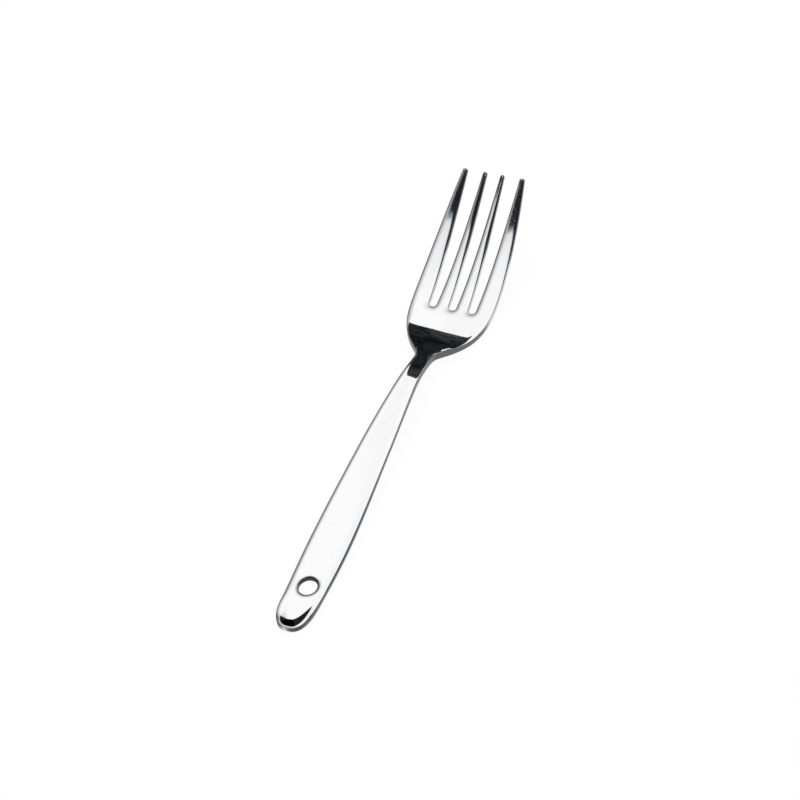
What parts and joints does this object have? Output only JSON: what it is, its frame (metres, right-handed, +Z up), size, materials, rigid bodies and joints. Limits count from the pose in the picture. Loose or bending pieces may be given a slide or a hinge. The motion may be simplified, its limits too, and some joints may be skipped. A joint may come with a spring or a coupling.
{
  "type": "dessert fork",
  "caption": "One-piece polished stainless steel dessert fork with tapered tines, a shallow bowl, a slim neck and a leaf-shaped handle pierced near its rounded end for hanging.",
  "frame": {"origin": "on the table under the middle of the fork's length, with the fork lying on its back as in use on a laid table", "axes": "+Y along the fork from the rounded handle end to the tine tips, +X across it to the right, +Z up out of the bowl"},
  "size_m": [0.0262, 0.1702, 0.0219],
  "materials": {
    "polished_steel": "mirror-polished stainless steel, bare metal"
  },
  "bodies": {
    "root": {"fork": "polished_steel"}
  },
  "joints": []
}
